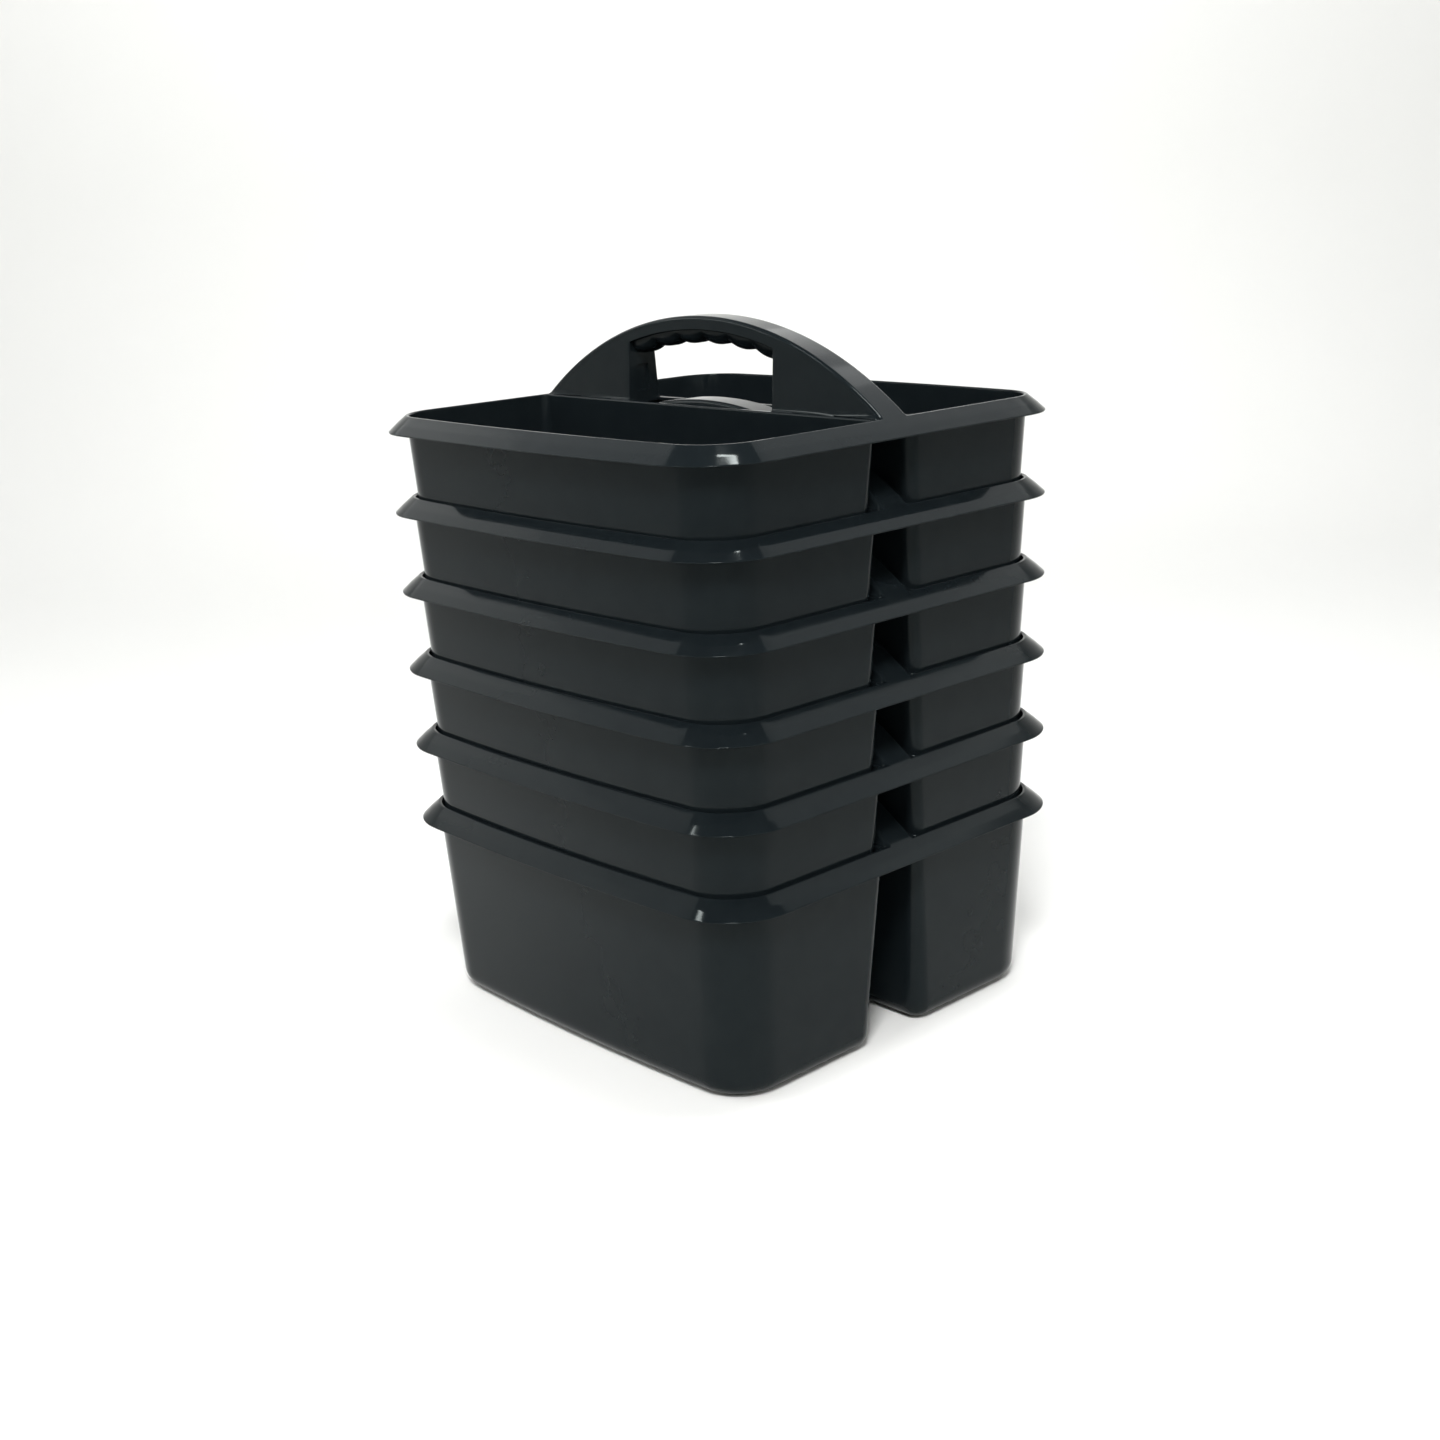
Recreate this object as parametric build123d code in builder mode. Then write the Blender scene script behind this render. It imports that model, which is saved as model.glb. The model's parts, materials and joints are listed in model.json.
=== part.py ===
# A stack of nesting cleaning caddies.
#
# Each caddy is one thin-walled moulding: two open tubs side by side, a slot between them that is
# open from below and at both ends, a down-turned rim all round, and a hollow arched handle over
# the slot. X runs along the handle, Y from the front tub to the rear tub, and Z is up. The origin
# is at the middle of the stack's base. Lengths are in millimetres and angles in degrees.

from build123d import *

import os
from math import asin, cos, degrees, radians, sin, sqrt, tan

# The stack
caddy_count = 6
nesting_pitch = 37.0

# Walls
wall = 1.4
floor_thickness = 1.6
deck_thickness = 1.6
overlap = 1.0  # how far a cutting or joining shape runs past the face it meets

# Tubs, outside, at the lip
lip_height = 94.0
lip_half_length = 109.5
lip_half_width = 106.3
lip_bow = 5.0  # how far the middle of a long outer wall stands out past its ends
outer_corner_radius = 24.0
slot_half_width = 9.5
slot_corner_radius = 5.0
outer_draft = 3.2
slot_draft = 3.3

# Tubs, outside, at the floor
floor_inset = lip_height * tan(radians(outer_draft))
slot_flare = lip_height * tan(radians(slot_draft))
floor_bow = 3.7
floor_slot_corner_radius = 8.6
floor_edge_radius = 8.4

# Rim: how far out and down each fold of the skirt lies from the lip
rim_folds = [(0.0, 0.0), (4.6, 3.2), (8.0, 7.2)]

# Handle
handle_rise = 39.35
handle_half_chord = lip_half_length
handle_half_width = 9.8  # at the lip, half way along
handle_end_half_width = 8.0  # at the lip, at each end
handle_draft = 4.0
handle_edge_radius = 1.6
band_thickness = 2.0
cheek_thickness = 1.5

# Finger opening and grip, measured down from the top of the arch
opening_half_length = 47.0
jamb_thickness = 2.0
opening_depth = 6.2
grip_notch_depth = 10.6
grip_lobe_depth = 12.4
grip_half_width = 5.4
grip_lobes = 6

# Shallow panel pressed into each end of the finger opening
panel_width = 6.4
panel_height = 12.0
panel_depth = 1.0
panel_foot = 4.0  # from the deck up to the panel

arch_radius = (handle_half_chord**2 + handle_rise**2) / (2 * handle_rise)
arch_centre_height = lip_height + handle_rise - arch_radius


def on_arch(depth, angle):
    """The point in the XZ plane that lies depth below the arch's outside, angle from its top."""
    radius = arch_radius - depth
    return (radius * sin(radians(angle)), arch_centre_height + radius * cos(radians(angle)))


def angle_at(depth, x):
    """The angle from the top at which a curve depth below the arch's outside reaches x."""
    return degrees(asin(x / (arch_radius - depth)))


def tub_outline(height, inset):
    """The rear tub's outline at a height, drawn inset from the outside of its walls."""
    down = 1 - height / lip_height
    half_length = lip_half_length - floor_inset * down - inset
    outer_wall = lip_half_width - floor_inset * down - inset
    bow = lip_bow + (floor_bow - lip_bow) * down
    slot_corner = slot_corner_radius + (floor_slot_corner_radius - slot_corner_radius) * down
    slot_wall = slot_half_width + slot_flare * down + inset
    with BuildSketch(Plane.XY.offset(height)) as outline:
        with BuildLine():
            Polyline(
                (-half_length, outer_wall - bow),
                (-half_length, slot_wall),
                (half_length, slot_wall),
                (half_length, outer_wall - bow),
            )
            ThreePointArc(
                (half_length, outer_wall - bow),
                (0, outer_wall),
                (-half_length, outer_wall - bow),
            )
        make_face()
        fillet(outline.vertices().group_by(Axis.Y)[0], slot_corner - inset)
        fillet(outline.vertices().group_by(Axis.Y)[-1], outer_corner_radius - inset)
    return outline.sketch


def tub_pair(bottom, inset):
    """Both tubs as solids, from a bottom height up to the lip, inset from their outside."""
    with BuildPart() as pair:
        loft([tub_outline(bottom, inset), tub_outline(lip_height, inset)], ruled=True)
        fillet(pair.edges().group_by(Axis.Z)[0], floor_edge_radius - inset)
        mirror(about=Plane.XZ)
    return pair.part


def rim_outline(height, spread):
    """The outline of the whole caddy at a height, spread out from the lip."""
    half_length = lip_half_length + spread
    half_width = lip_half_width + spread
    with BuildSketch(Plane.XY.offset(height)) as outline:
        with BuildLine():
            ThreePointArc(
                (-half_length, lip_bow - half_width),
                (0, -half_width),
                (half_length, lip_bow - half_width),
            )
            Line((half_length, lip_bow - half_width), (half_length, half_width - lip_bow))
            ThreePointArc(
                (half_length, half_width - lip_bow),
                (0, half_width),
                (-half_length, half_width - lip_bow),
            )
            Line((-half_length, half_width - lip_bow), (-half_length, lip_bow - half_width))
        make_face()
        fillet(outline.vertices(), outer_corner_radius + spread)
    return outline.sketch


def rim_form(lowered):
    """The solid under the rim's folds, lowered by its thickness to make its underside."""
    sections = [rim_outline(lip_height - drop - lowered, out) for out, drop in rim_folds]
    with BuildPart() as form:
        loft(sections, ruled=True)
    return form.part


def handle_taper(inset):
    """The handle's two bowed cheeks as a tapering block, inset from their outside."""
    reach = handle_half_chord + overlap
    sunk = deck_thickness + overlap
    flare = sunk * tan(radians(handle_draft))
    middle = handle_half_width + flare - inset
    end = handle_end_half_width + flare - inset
    with BuildPart() as block:
        with BuildSketch(Plane.XY.offset(lip_height - sunk)):
            with BuildLine():
                ThreePointArc((-reach, -end), (0, -middle), (reach, -end))
                Line((reach, -end), (reach, end))
                ThreePointArc((reach, end), (0, middle), (-reach, end))
                Line((-reach, end), (-reach, -end))
            make_face()
        extrude(amount=sunk + handle_rise + overlap, taper=handle_draft)
    return block.part


def arch_segment(depth, bottom):
    """The face under a curve depth below the arch's outside, down to a bottom height."""
    radius = arch_radius - depth
    half_chord = sqrt(radius**2 - (bottom - arch_centre_height) ** 2)
    with BuildSketch(Plane.XZ) as segment:
        with BuildLine():
            Line((-half_chord, bottom), (half_chord, bottom))
            ThreePointArc(
                (half_chord, bottom), (0, arch_centre_height + radius), (-half_chord, bottom)
            )
        make_face()
    return segment.sketch


def handle_solid():
    """The outside of the handle, sunk into the deck, with its long top edges rounded."""
    with BuildPart() as handle:
        add(handle_taper(0))
        extrude(
            arch_segment(0, lip_height - deck_thickness),
            amount=2 * handle_half_width,
            both=True,
            mode=Mode.INTERSECT,
        )
        long_edges = handle.faces().sort_by(Axis.Z)[-1].edges().sort_by(SortBy.LENGTH)[-2:]
        fillet(long_edges, handle_edge_radius)
    return handle.part


def handle_core():
    """The space between the cheeks: a pocket at each end, and the deck's gap between them."""
    bottom = lip_height - deck_thickness - overlap
    with BuildPart() as core:
        with BuildSketch(Plane.XZ):
            add(arch_segment(band_thickness, bottom))
            with Locations((0, lip_height + handle_rise / 2)):
                Rectangle(
                    2 * (opening_half_length + jamb_thickness),
                    2 * handle_rise,
                    mode=Mode.SUBTRACT,
                )
            with Locations((0, bottom)):
                Rectangle(
                    2 * opening_half_length,
                    deck_thickness + 2 * overlap,
                    align=(Align.CENTER, Align.MIN),
                )
        extrude(amount=2 * handle_half_width, both=True)
        add(handle_taper(cheek_thickness), mode=Mode.INTERSECT)
    return core.part


def finger_opening():
    """The opening through both cheeks, arched on top."""
    with BuildPart() as opening:
        with BuildSketch(Plane.XZ):
            add(arch_segment(opening_depth, lip_height))
            with Locations((0, lip_height)):
                Rectangle(
                    2 * opening_half_length,
                    handle_rise,
                    align=(Align.CENTER, Align.MIN),
                    mode=Mode.INTERSECT,
                )
        extrude(amount=2 * handle_half_width, both=True)
    return opening.part


def finger_grip():
    """The scalloped bar under the top of the handle, set back from both cheeks."""
    half_length = opening_half_length + jamb_thickness / 2
    end_angle = angle_at(grip_notch_depth, half_length)
    step = 2 * end_angle / grip_lobes
    root_depth = opening_depth - overlap
    with BuildPart() as grip:
        with BuildSketch(Plane.XZ):
            with BuildLine():
                for lobe in range(grip_lobes):
                    start = -end_angle + lobe * step
                    ThreePointArc(
                        on_arch(grip_notch_depth, start),
                        on_arch(grip_lobe_depth, start + step / 2),
                        on_arch(grip_notch_depth, start + step),
                    )
                Line(on_arch(grip_notch_depth, end_angle), on_arch(root_depth, end_angle))
                ThreePointArc(
                    on_arch(root_depth, end_angle),
                    on_arch(root_depth, 0),
                    on_arch(root_depth, -end_angle),
                )
                Line(on_arch(root_depth, -end_angle), on_arch(grip_notch_depth, -end_angle))
            make_face()
        extrude(amount=grip_half_width, both=True)
    return grip.part


def jamb_panels():
    """The shallow recess in each end of the finger opening."""
    with BuildPart() as panels:
        with Locations(
            (opening_half_length, 0, lip_height + panel_foot),
            (-opening_half_length, 0, lip_height + panel_foot),
        ):
            Box(
                2 * panel_depth,
                panel_width,
                panel_height,
                align=(Align.CENTER, Align.CENTER, Align.MIN),
            )
    return panels.part


# One caddy, standing on its base
with BuildPart() as caddy:
    add(rim_form(0))
    add(rim_form(deck_thickness), mode=Mode.SUBTRACT)
    add(tub_pair(0, 0))
    add(tub_pair(floor_thickness, wall), mode=Mode.SUBTRACT)
    add(handle_solid())
    add(handle_core(), mode=Mode.SUBTRACT)
    add(finger_opening(), mode=Mode.SUBTRACT)
    add(finger_grip())
    add(jamb_panels(), mode=Mode.SUBTRACT)

# The stack: the same moulding at each level, from the bottom up
os.makedirs("parts", exist_ok=True)
for level in range(caddy_count):
    with BuildPart() as nested_caddy:
        with Locations((0, 0, level * nesting_pitch)):
            add(caddy.part)
    nested_caddy.part.label = f"caddy_{level + 1}"
    export_step(nested_caddy.part, f"parts/caddy_{level + 1}.step")
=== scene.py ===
import json
import math

import bmesh
import bpy
import numpy as np
from mathutils import Matrix, Vector

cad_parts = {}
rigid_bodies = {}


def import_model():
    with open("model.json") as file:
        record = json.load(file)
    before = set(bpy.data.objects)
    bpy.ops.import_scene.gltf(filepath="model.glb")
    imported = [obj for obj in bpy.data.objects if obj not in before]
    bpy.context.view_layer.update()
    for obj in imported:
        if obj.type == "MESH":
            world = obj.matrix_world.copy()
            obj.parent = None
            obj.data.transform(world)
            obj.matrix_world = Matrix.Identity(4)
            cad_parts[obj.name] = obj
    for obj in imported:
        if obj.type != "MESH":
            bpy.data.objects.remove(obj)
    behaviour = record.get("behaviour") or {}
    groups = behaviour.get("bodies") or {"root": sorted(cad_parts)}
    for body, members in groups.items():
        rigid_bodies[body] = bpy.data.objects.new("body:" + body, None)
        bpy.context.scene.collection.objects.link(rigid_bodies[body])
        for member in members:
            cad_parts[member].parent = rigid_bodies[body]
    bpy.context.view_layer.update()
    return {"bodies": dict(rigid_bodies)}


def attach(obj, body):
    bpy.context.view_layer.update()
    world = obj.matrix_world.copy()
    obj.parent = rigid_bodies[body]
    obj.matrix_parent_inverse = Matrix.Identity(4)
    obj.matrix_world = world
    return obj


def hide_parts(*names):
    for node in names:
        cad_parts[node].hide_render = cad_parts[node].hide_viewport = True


# A stack of nesting caddies. Each caddy is one moulding: two tubs side by side, a down-turned rim
# round both, a bridge over the slot between them, and an arched handle with a scalloped grip.
# Shapes are in millimetres and degrees, the studio is in metres. X runs along the handle, Y from
# the front tub to the rear tub, and Z is up.

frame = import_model()

stack = {
    "pitch": 37.0,
    "slotName": "moulded_polypropylene",
    "sharpAngle": 38.0,  # an edge that turns more than this is shaded as a crease
    "mergeDistance": 0.002,
}


# Surface from rows of points, each row a closed ring: four-sided faces join each point and its
# neighbour to the same two places on the next row.
def shell(rows, flip=False):
    count, around = rows.shape[:2]
    ring = np.arange(around)
    start = np.arange(count - 1)[:, None] * around
    here, beside = start + ring, start + (ring + 1) % around
    quads = np.stack([here, beside, beside + around, here + around], axis=-1).reshape(-1, 4)
    return rows.reshape(-1, 3), quads[:, ::-1] if flip else quads


# The same with the last row joined to the first, as on a ring
def closedShell(rows, flip=False):
    return shell(np.concatenate([rows, rows[:1]]), flip)


# Flat rings of points with a height for each ring
def raisedRings(flat, high):
    high = np.broadcast_to(np.asarray(high).reshape(-1, 1, 1), flat.shape[:2] + (1,))
    return np.concatenate([flat, high], axis=-1)


rounding = {"mostReach": 0.45}  # the share of a side that one corner may take up


# Closed path through corners given as across, along and radius. Each arc touches both sides of
# its corner: it starts radius / tan(half the angle) from the corner, and its centre lies on the
# halving line, radius / sin(half the angle) from it. A point just outside each end of an arc
# keeps the flat beside it evenly shaded.
def roundedPath(corners, stepAngle, support):
    corners = [np.array(corner, float) for corner in corners]
    points = []
    for before, corner, after in zip(corners[-1:] + corners[:-1], corners, corners[1:] + corners[:1]):
        inward = before[:2] - corner[:2]
        onward = after[:2] - corner[:2]
        inLength, onLength = np.hypot(*inward), np.hypot(*onward)
        inward, onward = inward / inLength, onward / onLength
        half = math.acos(np.clip(inward @ onward, -1, 1)) / 2
        reach = corner[2] / math.tan(half)
        sweep = math.pi - 2 * half
        steps = max(2, math.ceil(math.degrees(sweep) / stepAngle))
        middle = (inward + onward) / np.hypot(*(inward + onward))
        centre = corner[:2] + middle * corner[2] / math.sin(half)
        start = corner[:2] + inward * reach - centre
        end = corner[:2] + onward * reach - centre
        share = np.linspace(0, 1, steps + 1)[:, None]
        arc = (np.sin((1 - share) * sweep) * start + np.sin(share * sweep) * end) / math.sin(sweep)
        points.append(corner[:2] + inward * min(reach + support, rounding["mostReach"] * inLength))
        points.extend(centre + arc)
        points.append(corner[:2] + onward * min(reach + support, rounding["mostReach"] * onLength))
    return np.array(points)


# One arc for each row: centre plus radius times the cosine and sine of evenly spaced angles
def arcRows(centreX, centreY, radius, fromAngle, toAngle, steps):
    angle = fromAngle + (toAngle - fromAngle) * np.linspace(0, 1, steps)[None, :]
    return np.stack([centreX + radius * np.cos(angle), centreY + radius * np.sin(angle)], axis=-1)


outline = {
    "cornerSteps": 22,
    "bowSteps": 61,
    "slotSteps": 13,
    "nearEnd": 0.02,  # where a straight run has its first point, as a share of its length
    "firstStep": 0.1,
}


# Rear half of an outline: a corner, the bowed long wall, and the other corner. The wall's arc
# passes through the middle and stands bow in from there at the ends, so its radius is
# (half length squared + bow squared) / (2 bow). Each corner touches it from the inside, so the
# corner's centre lies the difference of the two radii from the arc's centre.
def bowedHalf(halfLength, halfWidth, corner, bow):
    bowRadius = (halfLength**2 + bow**2) / (2 * bow)
    bowCentre = halfWidth - bowRadius
    cornerX = halfLength - corner
    cornerY = bowCentre + np.sqrt((bowRadius - corner) ** 2 - cornerX**2)
    turn = np.arctan2(cornerY - bowCentre, cornerX)
    steps = outline["cornerSteps"]
    return np.concatenate(
        [
            arcRows(cornerX, cornerY, corner, 0, turn, steps),
            arcRows(0, bowCentre, bowRadius, turn, math.pi - turn, outline["bowSteps"])[:, 1:-1],
            arcRows(-cornerX, cornerY, corner, math.pi - turn, math.pi, steps),
        ],
        axis=1,
    )


# Closed rings: each run of points is joined to the next by a straight run of even points
def joinRuns(runs, steps):
    near, first = outline["nearEnd"], outline["firstStep"]
    share = np.concatenate([[near], np.linspace(first, 1 - first, steps), [1 - near]])
    share = share[None, :, None]
    parts = []
    for run, following in zip(runs, runs[1:] + runs[:1]):
        parts += [run, run[:, -1:] + (following[:, :1] - run[:, -1:]) * share]
    return np.concatenate(parts, axis=1)


tub = {
    "lipHeight": 94.0,
    "halfLength": 109.5,
    "halfWidth": 106.3,
    "bow": 5.0,
    "floorBow": 3.7,
    "cornerRadius": 24.0,
    "slotHalfWidth": 9.5,
    "slotCornerRadius": 5.0,
    "floorSlotCornerRadius": 8.6,
    "draft": 3.2,
    "slotDraft": 3.3,
    "wall": 1.4,
    "floorThickness": 1.6,
    "floorEdgeRadius": 8.4,
    "straightSteps": 9,
    "floorEdgeSteps": (10, 9),  # outside and inside
    "lipSteps": 11,
    "wallLines": (9.2, 30.0, 60.0, 85.0),
    "underLip": 0.4,
    "floorShares": (0.0, 0.3, 0.6, 0.9, 0.99),  # rings of a floor, from its middle outwards
}


# Rear tub's outline at each height, inset from the outside of its walls. Every wall leans in
# towards the floor by the fall from the lip times the tangent of its draft, and the bow and the
# slot's corners change evenly from the lip to the floor.
def tubRings(height, inset):
    height, inset = np.array(height)[:, None], np.array(inset)[:, None]
    down = 1 - height / tub["lipHeight"]
    fall = tub["lipHeight"] * down
    lean = fall * math.tan(math.radians(tub["draft"]))
    halfLength = tub["halfLength"] - lean - inset
    bow = tub["bow"] + (tub["floorBow"] - tub["bow"]) * down
    slotWall = tub["slotHalfWidth"] + fall * math.tan(math.radians(tub["slotDraft"])) + inset
    cornerGrowth = tub["floorSlotCornerRadius"] - tub["slotCornerRadius"]
    slotCorner = tub["slotCornerRadius"] + cornerGrowth * down - inset
    slotX, slotY = halfLength - slotCorner, slotWall + slotCorner
    quarter, steps = math.pi / 2, outline["slotSteps"]
    runs = [
        bowedHalf(halfLength, tub["halfWidth"] - lean - inset, tub["cornerRadius"] - inset, bow),
        arcRows(-slotX, slotY, slotCorner, 2 * quarter, 3 * quarter, steps),
        arcRows(slotX, slotY, slotCorner, 3 * quarter, 4 * quarter, steps),
    ]
    return raisedRings(joinRuns(runs, tub["straightSteps"]), height)


# Heights and insets of a floor edge: a quarter turn whose centre lies a radius above the floor
# and a radius in from the sloping wall, so that it touches both
def floorEdge(radius, floor, inset, steps):
    draft = math.radians(tub["draft"])
    turn = np.linspace(math.pi / 2, draft, steps)
    high = floor + radius - radius * np.sin(turn)
    fromWall = radius / math.cos(draft) - radius * np.cos(turn)
    return high, inset + fromWall - (floor + radius - high) * math.tan(draft)


# One tub: its section from the middle of the floor's underside out, up the wall, over the half
# round lip, down the inside and back to the middle of the floor, carried round the outline
def tubShell():
    wall, lip = tub["wall"], tub["lipHeight"]
    outSteps, inSteps = tub["floorEdgeSteps"]
    outHigh, outIn = floorEdge(tub["floorEdgeRadius"], 0.0, 0.0, outSteps)
    inHigh, inIn = floorEdge(tub["floorEdgeRadius"] - wall, tub["floorThickness"], wall, inSteps)
    turn = np.linspace(0, math.pi, tub["lipSteps"])
    lipRadius = wall / 2
    lipHigh = lip - lipRadius + lipRadius * np.sin(turn)
    lipIn = lipRadius - lipRadius * np.cos(turn)
    wallHigh = np.array([*tub["wallLines"], lip - lipRadius - tub["underLip"]])
    high = np.concatenate([outHigh, wallHigh, lipHigh, wallHigh[::-1], inHigh[::-1]])
    inset = np.concatenate([outIn, wallHigh * 0, lipIn, wallHigh * 0 + wall, inIn[::-1]])
    rings = tubRings(high, inset)
    shares = np.array(tub["floorShares"])[:, None, None]
    outPole, inPole = rings[0].mean(axis=0), rings[-1].mean(axis=0)
    outFloor = outPole + (rings[0] - outPole) * shares
    inFloor = inPole + (rings[-1] - inPole) * shares[::-1]
    return shell(np.concatenate([outFloor, rings, inFloor]))


rim = {
    # How far out and down each corner of the skirt lies from the lip, and how round it is
    "path": [
        (-0.9, 1.6, 0.3),
        (-0.9, 0.02, 0.02),
        (0.0, 0.02, 0.8),
        (4.3, 3.6, 20.0),
        (8.42, 7.5, 0.36),
        (6.9, 7.5, 0.3),
        (4.2, 5.2, 8.0),
        (0.2, 1.7, 0.5),
    ],
    "stepAngle": 9.0,
    "support": 0.25,
    "straightSteps": 21,
}


# Down-turned rim: its section carried round the whole caddy. Each point of the section spreads
# the outline by how far out it lies and lowers it by how far down.
def rimShell():
    section = roundedPath(rim["path"], rim["stepAngle"], rim["support"])
    out, high = section[:, :1], tub["lipHeight"] - section[:, 1:]
    half = bowedHalf(
        tub["halfLength"] + out, tub["halfWidth"] + out, tub["cornerRadius"] + out, tub["bow"]
    )
    return closedShell(raisedRings(joinRuns([half, -half], rim["straightSteps"]), high), flip=True)


deck = {
    "thickness": 1.6,
    "sunk": 0.12,  # below the lip
    "length": 109.3,
    "halfWidth": 10.2,
    "gapEdge": 0.3,
    "outerEdge": 0.05,
    "gapInset": (0.2, 0.1),  # how far the gap is drawn in from the handle's inside
    "stepAngle": 20.0,
    "support": 0.1,
    "sideSteps": 81,
    "endSteps": 9,
}

handle = {
    "rise": 39.34,
    "halfWidth": 9.8,
    "endHalfWidth": 8.0,
    "endReach": 110.5,
    "draft": 4.0,
    "edgeRadius": 1.6,
    "openingEdgeRadius": 0.5,
    "footRadius": 1.3,
    "band": 2.0,
    "cheek": 1.5,
    "openingHalfLength": 47.0,
    "openingDepth": 6.2,
    "jamb": 2.0,
    "edgeSteps": 8,
    "openingEdgeSteps": 5,
    "archSteps": 60,
    "archEnd": (0.006, 0.03),  # where the arch has its first two points, as shares of its length
    "footLines": (-0.01, 0.05, 0.15, 0.35, 0.7, 1.3),  # heights above the deck
    "legLines": (96.6, 101.0, 104.0, 107.0, 113.0, 116.0, 118.5),
    "underArch": 0.4,
    "bandShares": (0.0, 0.3, 0.6, 0.85, 0.97),  # across the band, from its middle
    "cheekShares": (0.06, 0.2, 0.4, 0.6, 0.8, 0.94),  # from the band to the opening
    "pocketLines": (0.0, 0.2, 0.6),  # heights above the underside of the deck
    "pocketSteps": 16,
    "pocketTip": 0.5,
}

panel = {
    "halfWidth": 3.2,
    "low": 98.0,
    "high": 110.0,
    "depth": 1.0,
    "flank": 0.35,
    "support": 0.2,
    "middleLines": (1.2, 0.0),
}

# The arch is part of a circle: its radius is (half chord squared + rise squared) / (2 rise)
archRadius = (tub["halfLength"] ** 2 + handle["rise"] ** 2) / (2 * handle["rise"])
archCentre = tub["lipHeight"] + handle["rise"] - archRadius
deckTop = tub["lipHeight"] - deck["sunk"]
deckBottom = tub["lipHeight"] - deck["thickness"]


# How far from the middle the circle that lies depth inside the arch has height z
def archX(depth, z):
    return np.sqrt((archRadius - depth) ** 2 - (z - archCentre) ** 2)


# Half the handle's width: it falls with the square of the distance from the middle, narrows with
# height by the tangent of the draft, and flares out in a quarter round where it meets the deck
def cheekHalfWidth(x, z):
    narrowing = handle["halfWidth"] - handle["endHalfWidth"]
    bowed = handle["halfWidth"] - narrowing * (x / handle["endReach"]) ** 2
    foot = np.clip(handle["footRadius"] - (z - deckTop), 0, handle["footRadius"])
    flare = handle["footRadius"] - np.sqrt(handle["footRadius"] ** 2 - foot**2)
    lean = (z - tub["lipHeight"]) * math.tan(math.radians(handle["draft"]))
    return bowed - lean + np.where(z > deckTop, flare, 0)


# Matching points on the arch and on the opening's edge, from the left foot over to the right one.
# On the legs both have the same height, and over the top both have the same share of their arc.
def handleLines():
    jambX, inRadius = handle["openingHalfLength"], archRadius - handle["openingDepth"]
    jambTop = archCentre + math.sqrt(inRadius**2 - jambX**2)
    support, flank = panel["support"], panel["flank"]
    panelEdge = np.array([-support, 0, flank, flank + support])
    heights = np.concatenate(
        [
            [deckBottom],
            deckTop + np.array(handle["footLines"]),
            handle["legLines"],
            panel["low"] + panelEdge,
            panel["high"] - panelEdge,
            [jambTop - handle["underArch"], jambTop],
        ]
    )
    heights = np.sort(heights)
    legOut = np.stack([-archX(0, heights), heights], axis=-1)
    legIn = np.stack([np.full_like(heights, -jambX), heights], axis=-1)
    first, second = handle["archEnd"]
    evenly = np.linspace(second, 1 - second, handle["archSteps"])
    share = np.concatenate([[first], evenly, [1 - first]])
    outer = math.asin(legOut[-1, 0] / archRadius) * (1 - 2 * share)
    inner = math.asin(-jambX / inRadius) * (1 - 2 * share)
    topOut = np.stack([archRadius * np.sin(outer), archCentre + archRadius * np.cos(outer)], axis=-1)
    topIn = np.stack([inRadius * np.sin(inner), archCentre + inRadius * np.cos(inner)], axis=-1)
    mirrored = np.array([-1, 1])
    outLine = np.concatenate([legOut, topOut, legOut[::-1] * mirrored])
    inLine = np.concatenate([legIn, topIn, legIn[::-1] * mirrored])
    # The way the opening's edge faces: sideways on a jamb, down along the top
    jambFace = np.tile([[1.0, 0.0]], (len(heights), 1))
    topFace = -np.stack([np.sin(inner), np.cos(inner)], axis=-1)
    return outLine, inLine, np.concatenate([jambFace, topFace, jambFace * mirrored])


# How far each point of a jamb is pressed in: the panel's depth times two ramps, one over its
# height and one over its width
def panelPress(height, line):
    low, high, flank = panel["low"], panel["high"], panel["flank"]
    upward = np.interp(height, [low, low + flank, high - flank, high], [0, 1, 1, 0])
    across = np.interp(line, [panel["halfWidth"] - flank, panel["halfWidth"]], [1, 0])
    return panel["depth"] * upward * across


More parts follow.
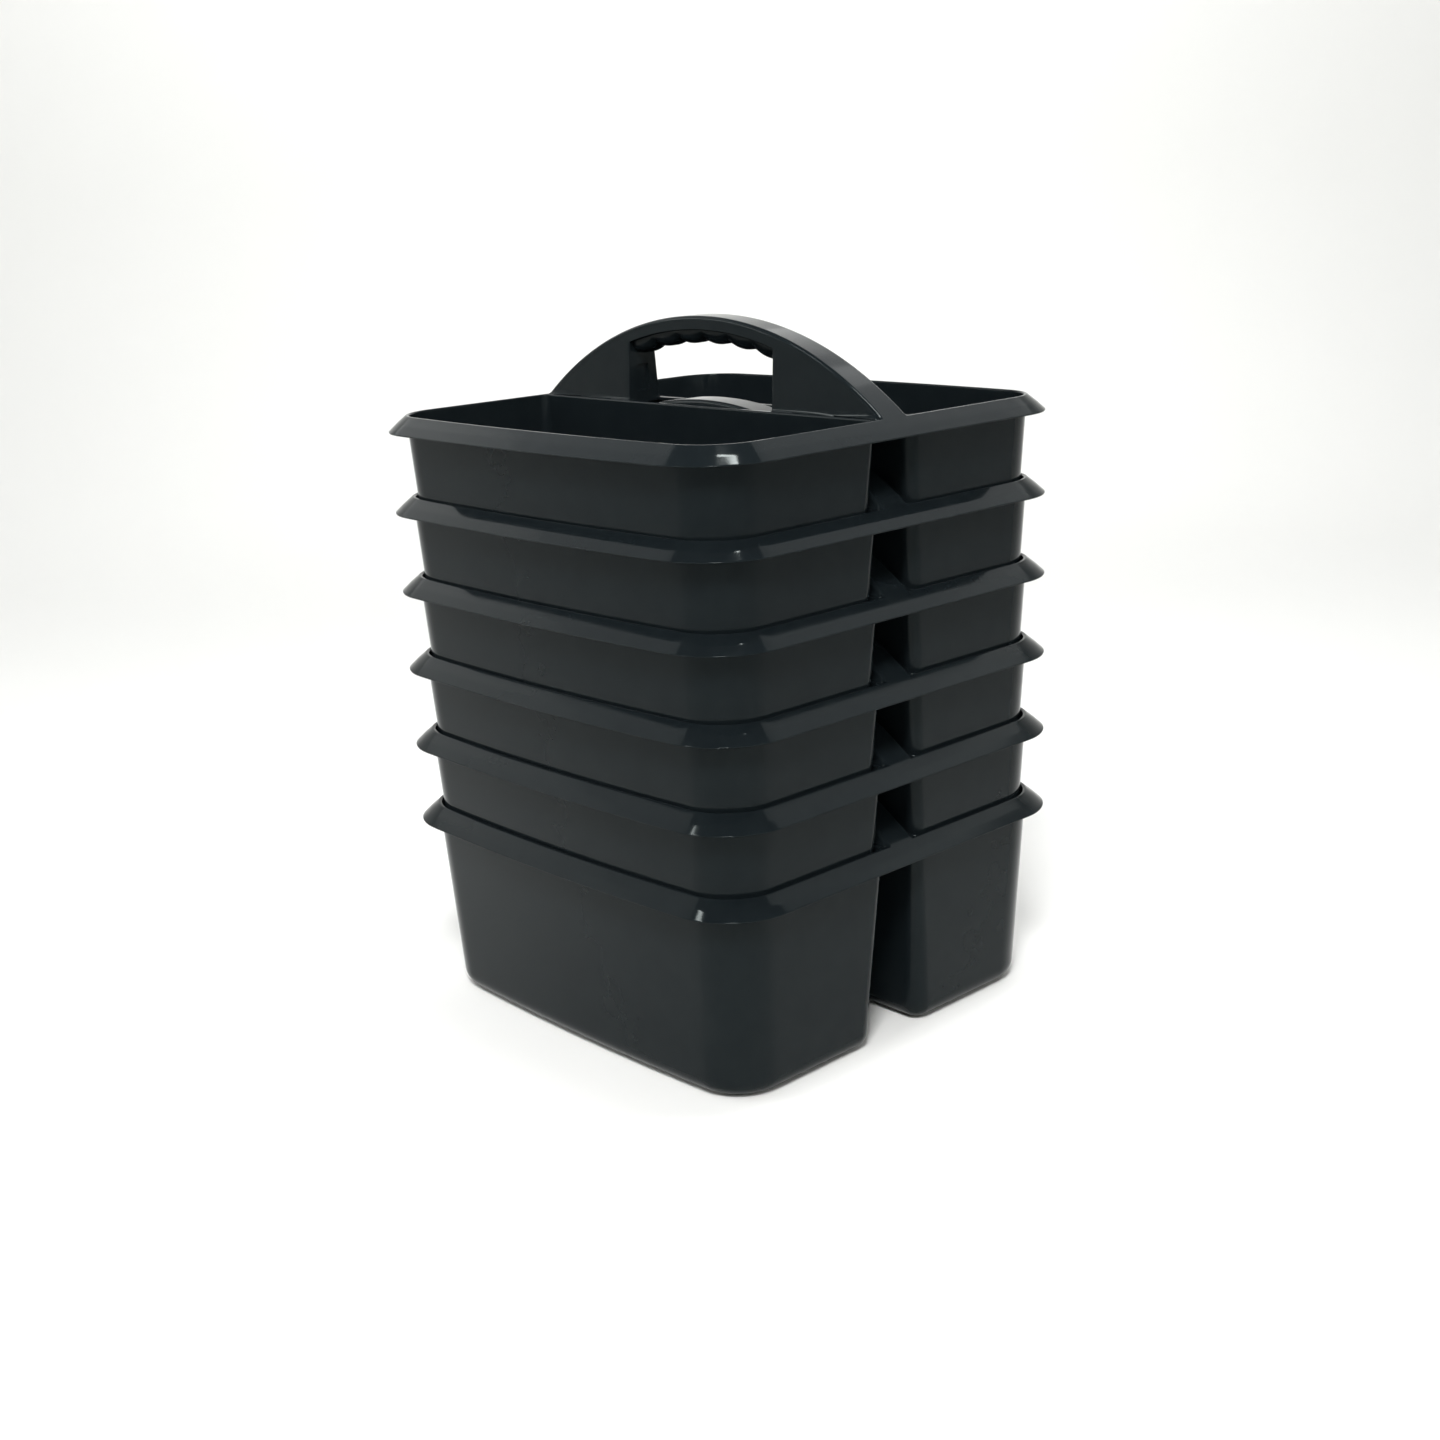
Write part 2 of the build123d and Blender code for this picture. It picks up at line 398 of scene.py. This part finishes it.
# Half the handle's section in columns, each a line from foot to foot with a distance from the
# middle plane: the band, its rounded edge, the cheek, the opening's rounded edge, and the jamb
def handleColumns():
    outLine, inLine, inFace = handleLines()
    edge, inner = handle["edgeRadius"], handle["openingEdgeRadius"]
    radial = outLine - np.array([0.0, archCentre])
    outFace = radial / np.linalg.norm(radial, axis=1, keepdims=True)
    columns = []

    def onCheek(line, inset):
        columns.append((line, cheekHalfWidth(line[:, 0], line[:, 1]) - inset))

    halfBand = cheekHalfWidth(outLine[:, 0], outLine[:, 1]) - edge
    columns += [(outLine, halfBand * share) for share in handle["bandShares"]]
    for turn in np.linspace(0, math.pi / 2, handle["edgeSteps"]):
        onCheek(outLine - outFace * edge * (1 - math.cos(turn)), edge * (1 - math.sin(turn)))
    fromBand, toOpening = outLine - outFace * edge, inLine - inFace * inner
    for share in handle["cheekShares"]:
        onCheek(fromBand + (toOpening - fromBand) * share, 0.0)
    for turn in np.linspace(0, math.pi / 2, handle["openingEdgeSteps"]):
        onCheek(toOpening + inFace * inner * math.sin(turn), inner * (1 - math.cos(turn)))
    # The shallow panel pressed into each jamb
    flank, support = panel["flank"], panel["support"]
    panelEdge = np.array([support, 0, -flank, -flank - support])
    onJamb = np.abs(inFace[:, 0]) == 1
    halfJamb = cheekHalfWidth(inLine[:, 0], inLine[:, 1]) - inner
    for line in [*(panel["halfWidth"] + panelEdge), *panel["middleLines"]]:
        press = panelPress(inLine[:, 1], line) * onJamb
        columns.append((inLine - inFace * press[:, None], np.minimum(line, halfJamb)))
    return columns


# Rings of the handle's section from half of it: the half at minus y, then the half at plus y
# taken backwards without the two points that they share
def mirroredRings(x, y, z):
    near, far = np.stack([x, -y, z], axis=-1), np.stack([x, y, z], axis=-1)
    return np.concatenate([near, far[:, -2:0:-1]], axis=1)


# The handle: the outside and the opening are one surface from foot to foot, and the hollow in
# each end hangs on its foot and closes where the band meets the jamb
def handleShell():
    columns = handleColumns()
    plane = np.stack([line for line, half in columns], axis=1)
    halfWidth = np.stack([half for line, half in columns], axis=1)
    ring = mirroredRings(plane[..., 0], halfWidth, np.maximum(plane[..., 1], deckBottom))

    pocketX = handle["openingHalfLength"] + handle["jamb"]
    tip = archCentre + math.sqrt((archRadius - handle["band"]) ** 2 - pocketX**2)
    upward = np.linspace(tub["lipHeight"], tip - handle["pocketTip"], handle["pocketSteps"])
    heights = np.concatenate([deckBottom + np.array(handle["pocketLines"]), upward, [tip]])
    # The same steps across the band and the jamb, so that they close on each other at the tip
    across = np.linspace(0, 1, handle["edgeSteps"])
    cheekCount = len(columns) - 2 * len(across)
    along = np.concatenate([across * 0, np.linspace(0, 1, cheekCount), across * 0 + 1])
    side = np.concatenate([across, np.ones(cheekCount), across[::-1]])
    farX = archX(handle["band"], heights)[:, None]
    x = farX + (pocketX - farX) * along
    z = np.broadcast_to(heights[:, None], x.shape)
    clearOfFoot = np.maximum(z, deckTop + handle["footRadius"])
    right = mirroredRings(x, (cheekHalfWidth(x, clearOfFoot) - handle["cheek"]) * side, z)
    left = right * np.array([-1, 1, 1])
    return [
        shell(ring),
        shell(np.concatenate([left[::-1], ring[:1]])),
        shell(np.concatenate([ring[-1:], right])),
    ]


# The bridge between the tubs: a flat ring, its section carried round from the gap under the
# handle, whose sides follow the cheeks, to a rectangle that ends inside the tubs' walls
def deckShell():
    gapEdge, outerEdge = deck["gapEdge"], deck["outerEdge"]
    section = roundedPath(
        [
            (0, deckBottom, gapEdge),
            (1, deckBottom, outerEdge),
            (1, deckTop, outerEdge),
            (0, deckTop, gapEdge),
        ],
        deck["stepAngle"],
        deck["support"],
    )
    longSide = np.linspace(1, -1, deck["sideSteps"])
    endSide = np.linspace(-1, 1, deck["endSteps"])[1:-1]
    unitX = np.concatenate([longSide, endSide * 0 - 1, -longSide, endSide * 0 + 1])
    unitY = np.concatenate([longSide * 0 + 1, -endSide, longSide * 0 - 1, endSide])
    insetX, insetY = deck["gapInset"]
    gapX = unitX * (archX(handle["band"], deckTop) - insetX)
    halfGap = cheekHalfWidth(gapX, deckTop + handle["footRadius"]) - handle["cheek"] - insetY
    gap = np.stack([gapX, unitY * halfGap], axis=-1)
    outer = np.stack([unitX * deck["length"], unitY * deck["halfWidth"]], axis=-1)
    return closedShell(raisedRings(gap + (outer - gap) * section[:, :1, None], section[:, 1]))


grip = {
    "halfWidth": 5.4,
    "root": 5.0,  # depths below the arch's outside
    "notch": 10.6,
    "lobe": 12.4,
    "lobes": 6,
    "lobeSteps": 14,
    "edge": (3.6, 4.6),  # how far in and how far up the rounding under each side reaches
    "edgeSteps": 9,
    "endReach": 47.3,
}


# The scalloped bar under the top of the opening. Along the arch its depth swings from notch to
# lobe as a parabola in each lobe, and across it each lower side is rounded by a quarter ellipse.
def gripShell():
    lobes, half, (edgeIn, edgeUp) = grip["lobes"], grip["halfWidth"], grip["edge"]
    endAngle = math.asin(grip["endReach"] / (archRadius - grip["notch"]))
    angle = endAngle * np.linspace(-1, 1, lobes * grip["lobeSteps"] + 1)
    within = np.linspace(0, lobes, lobes * grip["lobeSteps"] + 1) % 1
    reach = grip["notch"] + (grip["lobe"] - grip["notch"]) * (1 - (2 * within - 1) ** 2)
    turn = np.linspace(0, math.pi / 2, grip["edgeSteps"])
    y = np.concatenate([[half, half], half - edgeIn + edgeIn * np.cos(turn), [(half - edgeIn) / 2]])
    lift = np.concatenate([[0, 0], edgeUp - edgeUp * np.sin(turn), [0]])
    share = np.concatenate([[0.0, 0.5], np.ones(len(turn) + 1)])
    side = grip["root"] + (reach[:, None] - edgeUp - grip["root"]) * share
    radius = archRadius - np.where(share < 1, side, reach[:, None] - lift)
    x, z = radius * np.sin(angle)[:, None], archCentre + radius * np.cos(angle)[:, None]
    width = np.broadcast_to(y, x.shape)
    near, far = np.stack([x, -width, z], axis=-1), np.stack([x, width, z], axis=-1)
    ring = np.concatenate([near, far[:, ::-1]], axis=1)
    ends = ring[[0, -1]].mean(axis=1, keepdims=True)
    return shell(np.concatenate([ring[:1] * 0 + ends[:1], ring, ring[:1] * 0 + ends[1:]]))


# All the surfaces of one caddy as one array of points and one of faces. The front tub is the
# rear one with y turned round, so its faces are turned round as well.
def mouldingArrays():
    rear = tubShell()
    front = (rear[0] * np.array([1, -1, 1]), rear[1][:, ::-1])
    shells = [rear, front, rimShell(), deckShell(), gripShell(), *handleShell()]
    starts = np.cumsum([0] + [len(points) for points, quads in shells[:-1]])
    quads = [quads + start for start, (points, quads) in zip(starts, shells)]
    return np.concatenate([points for points, quads in shells]), np.concatenate(quads)


# One caddy in metres at its height in the stack, its seams and poles closed by merging the
# points that lie on each other
def makeMoulding(name, lift, points, quads):
    mesh = bpy.data.meshes.new(name)
    mesh.from_pydata((points + np.array([0, 0, lift])) / 1000, [], quads)
    work = bmesh.new()
    work.from_mesh(mesh)
    bmesh.ops.remove_doubles(work, verts=work.verts, dist=stack["mergeDistance"] / 1000)
    bmesh.ops.dissolve_degenerate(work, edges=work.edges, dist=stack["mergeDistance"] / 1000)
    work.to_mesh(mesh)
    work.free()
    mesh.shade_smooth()
    mesh.set_sharp_from_angle(angle=math.radians(stack["sharpAngle"]))
    piece = bpy.data.objects.new(name, mesh)
    bpy.context.scene.collection.objects.link(piece)
    return piece


# Linear red, green, blue and alpha from an sRGB hex colour
def linear(hexColour):
    channels = [int(hexColour[start : start + 2], 16) / 255 for start in (1, 3, 5)]
    return (
        *[c / 12.92 if c <= 0.04045 else ((c + 0.055) / 1.055) ** 2.4 for c in channels],
        1.0,
    )


# A node of any kind: a setting named like one of its sockets sets that socket, others the node
def addNode(tree, kind, **settings):
    node = tree.nodes.new(kind)
    for key, value in settings.items():
        if key in node.inputs:
            node.inputs[key].default_value = value
        else:
            setattr(node, key, value)
    return node


plastic = {
    "colour": "#101518",
    "scuffColour": "#161b1d",
    "roughness": (0.08, 0.13),
    "ior": 1.49,
    "specular": 0.12,
    "specularTint": "#eefaf7",
    "flowSize": 26.0,  # millimetres across one wave of the surface
    "flowDepth": 0.02,
    "scuffSize": 12.0,
    "scuffRange": (0.4, 0.75),  # the part of the noise that goes from clear gloss to full haze
}


# Black polypropylene, injection-moulded in a polished mould: deep even black with a clear, soft
# edged gloss, hazed a little where hands have rubbed it, over walls that aren't quite flat
def polypropylene():
    material = bpy.data.materials.new(stack["slotName"])
    material.use_nodes = True
    tree = material.node_tree
    shader = tree.nodes["Principled BSDF"]
    shader.inputs["IOR"].default_value = plastic["ior"]
    shader.inputs["Specular IOR Level"].default_value = plastic["specular"]
    shader.inputs["Specular Tint"].default_value = linear(plastic["specularTint"])
    place = addNode(tree, "ShaderNodeTexCoord")
    # Faint handling haze: patches a few millimetres across that blur the gloss and pale the black
    haze = addNode(tree, "ShaderNodeTexNoise", Scale=1000 / plastic["scuffSize"], Detail=3.0)
    blur = addNode(tree, "ShaderNodeMapRange")
    for socket, values in (("From", plastic["scuffRange"]), ("To", plastic["roughness"])):
        blur.inputs[socket + " Min"].default_value = values[0]
        blur.inputs[socket + " Max"].default_value = values[1]
    tone = addNode(tree, "ShaderNodeMix", data_type="RGBA")
    toneFrom, toneTo, toneResult = tone.inputs[6], tone.inputs[7], tone.outputs[2]
    toneFrom.default_value = linear(plastic["colour"])
    toneTo.default_value = linear(plastic["scuffColour"])
    # Slow waves left by the cooling plastic, which bend the reflections on the long walls
    wave = addNode(tree, "ShaderNodeTexNoise", Scale=1000 / plastic["flowSize"], Detail=1.0)
    bump = addNode(tree, "ShaderNodeBump", Strength=1.0, Distance=plastic["flowDepth"] / 1000)
    join = tree.links.new
    join(place.outputs["Object"], haze.inputs["Vector"])
    join(place.outputs["Object"], wave.inputs["Vector"])
    join(haze.outputs["Fac"], blur.inputs["Value"])
    join(blur.outputs["Result"], shader.inputs["Roughness"])
    join(haze.outputs["Fac"], tone.inputs["Factor"])
    join(toneResult, shader.inputs["Base Color"])
    join(wave.outputs["Fac"], bump.inputs["Height"])
    join(bump.outputs["Normal"], shader.inputs["Normal"])
    return material


points, quads = mouldingArrays()
material = polypropylene()
bodies = sorted(frame["bodies"])
for level, body in enumerate(bodies):
    piece = makeMoulding(body + "_moulding", level * stack["pitch"], points, quads)
    piece.data.materials.append(material)
    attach(piece, body)
    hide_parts(body)
print("mouldings:", len(bodies), "with", len(quads), "faces each")

studio = {
    "floorColour": "#f2f2f0",
    "floorRoughness": 0.9,
    "floorDrop": 0.0002,
    "innerRadius": 0.6,
    "floorRadius": 1.25,
    "sweepRadius": 0.4,
    "wallHeight": 1.5,
    "sweepSteps": 13,
    "roundSteps": 96,
    "worldColour": "#dfe3e6",
    "worldStrength": 0.26,
}


# A pale floor that curves up all round: a flat, a quarter turn and a wall, turned about Z
def makeFloor():
    turn = np.linspace(0, math.pi / 2, studio["sweepSteps"])
    bend = studio["sweepRadius"]
    radius = np.concatenate([[0.0, studio["innerRadius"]], studio["floorRadius"] + bend * np.sin(turn)])
    high = np.concatenate([[0.0, 0.0], bend - bend * np.cos(turn)])
    radius, high = np.append(radius, radius[-1]), np.append(high, studio["wallHeight"])
    angle = np.linspace(0, 2 * math.pi, studio["roundSteps"] + 1)[:-1]
    flat = radius[:, None, None] * np.stack([np.cos(angle), np.sin(angle)], axis=-1)
    points, quads = shell(raisedRings(flat, high - studio["floorDrop"]), flip=True)
    mesh = bpy.data.meshes.new("floor")
    mesh.from_pydata(points, [], quads)
    mesh.shade_smooth()
    floor = bpy.data.objects.new("floor", mesh)
    bpy.context.scene.collection.objects.link(floor)
    paper = bpy.data.materials.new("pale_paper")
    paper.use_nodes = True
    shader = paper.node_tree.nodes["Principled BSDF"]
    shader.inputs["Base Color"].default_value = linear(studio["floorColour"])
    shader.inputs["Roughness"].default_value = studio["floorRoughness"]
    mesh.materials.append(paper)


# Where each light stands and what it points at, its two sides, its power in watts and how widely
# it fans out in degrees
lights = {
    "left": {"place": (-1.22, -0.4, 1.25), "size": (1.3, 0.9), "power": 3.6},
    "backLeft": {"place": (-0.6, 1.0, 1.1), "size": (0.8, 0.5), "power": 1.2},
    "backRight": {"place": (0.14, 1.12, 1.38), "size": (1.2, 0.7), "power": 3.0},
    "top": {
        "place": (0.264, 0.09, 1.71),
        "aim": (0.06, -0.13, 0.16),
        "size": (0.11, 0.4),
        "power": 8.0,
    },
    "strip": {"place": (-0.43, -0.82, 1.5), "size": (0.3, 0.08), "power": 2.6},
    "frontLeft": {"place": (-1.1, -1.0, 0.8), "size": (0.5, 0.14), "power": 2.0},
    "front": {"place": (0.9, -1.0, 1.6), "size": (0.45, 0.45), "power": 3.0, "spread": 50},
    "backdrop": {
        "place": (-0.55, 0.5, 1.5),
        "aim": (-1.4, 1.3, 0.45),
        "size": (1.2, 0.4),
        "power": 3.5,
        "spread": 90,
    },
}
usualLight = {"aim": (0.0, 0.0, 0.16), "spread": 180}


# Soft rectangular lights, each turned towards its aim, under an even pale sky
def makeLights():
    for name, settings in lights.items():
        light = {**usualLight, **settings}
        lamp = bpy.data.lights.new(name, "AREA")
        lamp.shape = "RECTANGLE"
        lamp.size, lamp.size_y = light["size"]
        lamp.energy = light["power"]
        lamp.spread = math.radians(light["spread"])
        holder = bpy.data.objects.new(name, lamp)
        holder.location = light["place"]
        holder.rotation_mode = "QUATERNION"
        aim = Vector(light["aim"])
        holder.rotation_quaternion = (aim - holder.location).to_track_quat("-Z", "Y")
        bpy.context.scene.collection.objects.link(holder)
    world = bpy.data.worlds.new("studio")
    world.use_nodes = True
    sky = world.node_tree.nodes["Background"]
    sky.inputs["Color"].default_value = linear(studio["worldColour"])
    sky.inputs["Strength"].default_value = studio["worldStrength"]
    bpy.context.scene.world = world


makeFloor()
makeLights()
print("studio ready:", len(lights), "lights")

viewpoint = {
    "azimuth": 47.364,
    "elevation": 15.887,
    "roll": -2.459,
    "distance": 883.6,  # millimetres, as are the next three
    "target": (0.0, 0.0, 154.0),
    "across": -1.96,
    "up": -22.98,
    "focalShare": 1.3051,  # focal length over the picture's width
    "sensor": 36.0,
    "clip": (0.05, 50),
}


# The camera stands on a sphere about the target, at its azimuth from the front and its elevation,
# turns by roll about its own view, and then moves across and up in its own picture plane
def makeCamera():
    azimuth, elevation = math.radians(viewpoint["azimuth"]), math.radians(viewpoint["elevation"])
    roll = math.radians(viewpoint["roll"])
    level = Vector((math.sin(azimuth), -math.cos(azimuth), 0))
    back = level * math.cos(elevation) + Vector((0, 0, math.sin(elevation)))
    right = Vector((math.cos(azimuth), math.sin(azimuth), 0))
    up = back.cross(right)
    rolledRight = right * math.cos(roll) + up * math.sin(roll)
    rolledUp = up * math.cos(roll) - right * math.sin(roll)
    place = (
        Vector(viewpoint["target"])
        + back * viewpoint["distance"]
        + rolledRight * viewpoint["across"]
        + rolledUp * viewpoint["up"]
    ) / 1000
    lens = bpy.data.cameras.new("camera")
    lens.sensor_width = viewpoint["sensor"]
    lens.lens = viewpoint["focalShare"] * viewpoint["sensor"]
    lens.clip_start, lens.clip_end = viewpoint["clip"]
    camera = bpy.data.objects.new("camera", lens)
    axes = Matrix((rolledRight, rolledUp, back)).transposed()
    camera.matrix_world = Matrix.Translation(place) @ axes.to_4x4()
    bpy.context.scene.collection.objects.link(camera)
    bpy.context.scene.camera = camera


makeCamera()
bpy.context.scene.view_settings.view_transform = "Standard"
print("camera ready")
